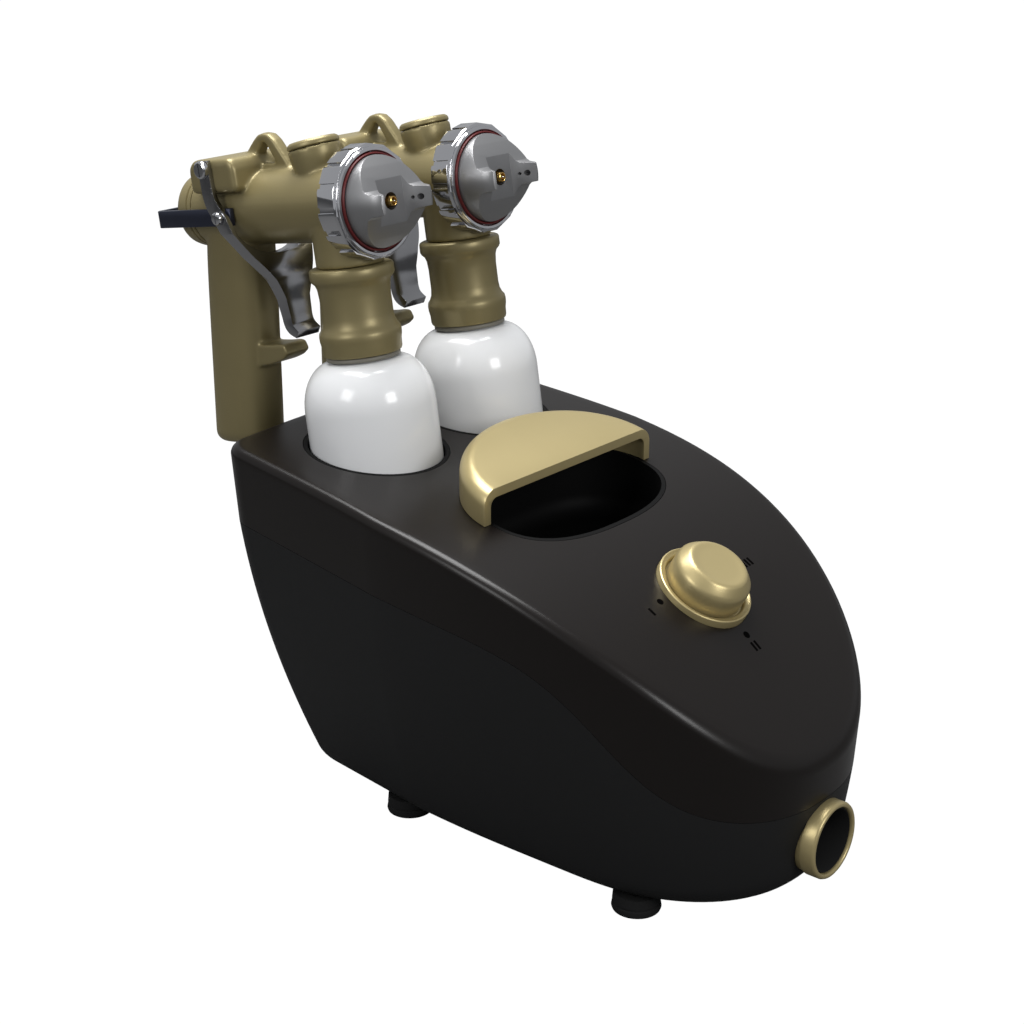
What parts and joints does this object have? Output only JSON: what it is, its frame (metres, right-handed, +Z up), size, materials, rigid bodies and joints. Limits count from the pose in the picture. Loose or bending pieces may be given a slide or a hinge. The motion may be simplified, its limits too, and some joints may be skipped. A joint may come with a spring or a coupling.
{
  "type": "spray turbine compressor",
  "caption": "Wedge-shaped turbine compressor with a carry handle and switch knob, holding two cup-fed spray guns upright in wells in its deck.",
  "frame": {"origin": "under the middle of the whole object's box, on the surface that the feet stand on", "axes": "+Z up, -Y towards the nose with the air outlet, X across, with the plane of symmetry at x = 0"},
  "size_m": [0.2094, 0.389, 0.341],
  "materials": {
    "gloss_black": "glossy dark brown-black moulded shell",
    "satin_black": "satin charcoal moulded plastic",
    "trim_gold": "pale gold satin metallic paint",
    "gun_gold": "olive gold satin metallic paint on a moulded body",
    "chrome": "polished chrome plate",
    "satin_silver": "fine satin silver",
    "steel": "plain steel",
    "dark_steel": "blued dark steel strip",
    "brass": "turned brass",
    "white_plastic": "glossy white moulded plastic",
    "rubber": "matt black rubber",
    "red_rubber": "dark red seal rubber",
    "grey_rubber": "grey gasket rubber",
    "turbine_alloy": "die-cast alloy",
    "foam": "open-cell filter foam",
    "board_green": "fibreglass board with green mask"
  },
  "bodies": {
    "casing": {"lower_shell": "satin_black", "upper_shell": "gloss_black", "grip_well": "satin_black", "carry_handle": "trim_gold", "foot_front_left": "rubber", "foot_front_right": "rubber", "foot_rear_left": "rubber", "foot_rear_right": "rubber", "left_cup_well": "satin_black", "right_cup_well": "satin_black", "knob_bezel": "trim_gold", "switch_body": "satin_black", "turbine_housing": "turbine_alloy", "motor_can": "steel", "outlet_duct": "satin_black", "outlet_collar": "trim_gold", "filter_foam": "foam", "power_inlet": "satin_black", "circuit_board": "board_green"},
    "knob": {"control_knob": "trim_gold", "knob_shaft": "steel"},
    "rotor": {"impeller": "turbine_alloy", "motor_shaft": "steel"},
    "filter": {"filter_cover": "satin_black"},
    "left_gun": {"left_gun_body": "gun_gold", "left_port_cap": "gun_gold", "left_rear_cap": "gun_gold", "left_cap_seal": "red_rubber", "left_fluid_nozzle": "brass", "left_trigger_pin": "chrome", "left_cup_lid": "gun_gold", "left_lid_gasket": "grey_rubber", "left_pickup_tube": "white_plastic", "left_needle_spring": "steel"},
    "left_trigger": {"left_trigger": "chrome", "left_link_screw_outer": "chrome", "left_link_screw_inner": "chrome"},
    "left_needle": {"left_needle": "steel", "left_yoke": "dark_steel"},
    "left_ring": {"left_retaining_ring": "chrome"},
    "left_cap": {"left_air_cap": "satin_silver"},
    "left_cup": {"left_cup": "white_plastic"},
    "right_gun": {"right_gun_body": "gun_gold", "right_port_cap": "gun_gold", "right_rear_cap": "gun_gold", "right_cap_seal": "red_rubber", "right_fluid_nozzle": "brass", "right_trigger_pin": "chrome", "right_cup_lid": "gun_gold", "right_lid_gasket": "grey_rubber", "right_pickup_tube": "white_plastic", "right_needle_spring": "steel"},
    "right_trigger": {"right_trigger": "chrome", "right_link_screw_outer": "chrome", "right_link_screw_inner": "chrome"},
    "right_needle": {"right_needle": "steel", "right_yoke": "dark_steel"},
    "right_ring": {"right_retaining_ring": "chrome"},
    "right_cap": {"right_air_cap": "satin_silver"},
    "right_cup": {"right_cup": "white_plastic"}
  },
  "joints": [
    {"name": "knob_turn", "type": "hinge", "parent": "casing", "child": "knob", "pos_m": [0, -0.11577, 0.14356], "axis": [0, -0.4979, 0.8672], "range_deg": [0, 180]},
    {"name": "rotor_spin", "type": "hinge", "parent": "casing", "child": "rotor", "pos_m": [0, -0.04077, 0.054], "axis": [0, 0, 1], "continuous": true},
    {"name": "filter_cover_pull", "type": "slide", "parent": "casing", "child": "filter", "axis": [0, 0.9793, -0.2026], "range_m": [0, 0.03]},
    {"name": "left_gun_lift", "type": "slide", "parent": "casing", "child": "left_gun", "axis": [0, 0.1564, 0.9877], "range_m": [0, 0.12]},
    {"name": "left_trigger_pull", "type": "hinge", "parent": "left_gun", "child": "left_trigger", "pos_m": [-0.04, 0.1481, 0.31946], "axis": [1, 0, 0], "range_deg": [0, 5.7], "stiffness_Nm_per_rad": 4, "springref_deg": -5.73},
    {"name": "left_needle_pull", "type": "slide", "parent": "left_gun", "child": "left_needle", "axis": [0, 0.9877, -0.1564], "range_m": [0, 0.0026], "deforming": ["left_needle_spring"]},
    {"name": "left_cap_turn", "type": "hinge", "parent": "left_gun", "child": "left_cap", "pos_m": [-0.04, 0.047, 0.31269], "axis": [0, 0.9877, -0.1564], "range_deg": [-90, 90]},
    {"name": "left_ring_turn", "type": "hinge", "parent": "left_gun", "child": "left_ring", "pos_m": [-0.04, 0.05885, 0.31082], "axis": [0, 0.9877, -0.1564], "range_deg": [0, 360]},
    {"name": "left_cup_turn", "type": "hinge", "parent": "left_gun", "child": "left_cup", "pos_m": [-0.04, 0.06099, 0.20923], "axis": [0, 0.1564, 0.9877], "range_deg": [0, 360]},
    {"name": "right_gun_lift", "type": "slide", "parent": "casing", "child": "right_gun", "axis": [0, 0.1564, 0.9877], "range_m": [0, 0.12]},
    {"name": "right_trigger_pull", "type": "hinge", "parent": "right_gun", "child": "right_trigger", "pos_m": [0.04, 0.1481, 0.31946], "axis": [1, 0, 0], "range_deg": [0, 5.7], "stiffness_Nm_per_rad": 4, "springref_deg": -5.73},
    {"name": "right_needle_pull", "type": "slide", "parent": "right_gun", "child": "right_needle", "axis": [0, 0.9877, -0.1564], "range_m": [0, 0.0026], "deforming": ["right_needle_spring"]},
    {"name": "right_cap_turn", "type": "hinge", "parent": "right_gun", "child": "right_cap", "pos_m": [0.04, 0.047, 0.31269], "axis": [0, 0.9877, -0.1564], "range_deg": [-90, 90]},
    {"name": "right_ring_turn", "type": "hinge", "parent": "right_gun", "child": "right_ring", "pos_m": [0.04, 0.05885, 0.31082], "axis": [0, 0.9877, -0.1564], "range_deg": [0, 360]},
    {"name": "right_cup_turn", "type": "hinge", "parent": "right_gun", "child": "right_cup", "pos_m": [0.04, 0.06099, 0.20923], "axis": [0, 0.1564, 0.9877], "range_deg": [0, 360]}
  ],
  "couplings": [
    {"joint": "left_needle_pull", "follows": "left_trigger_pull", "m_per_rad": 0.0247},
    {"joint": "right_needle_pull", "follows": "right_trigger_pull", "m_per_rad": 0.0247}
  ]
}
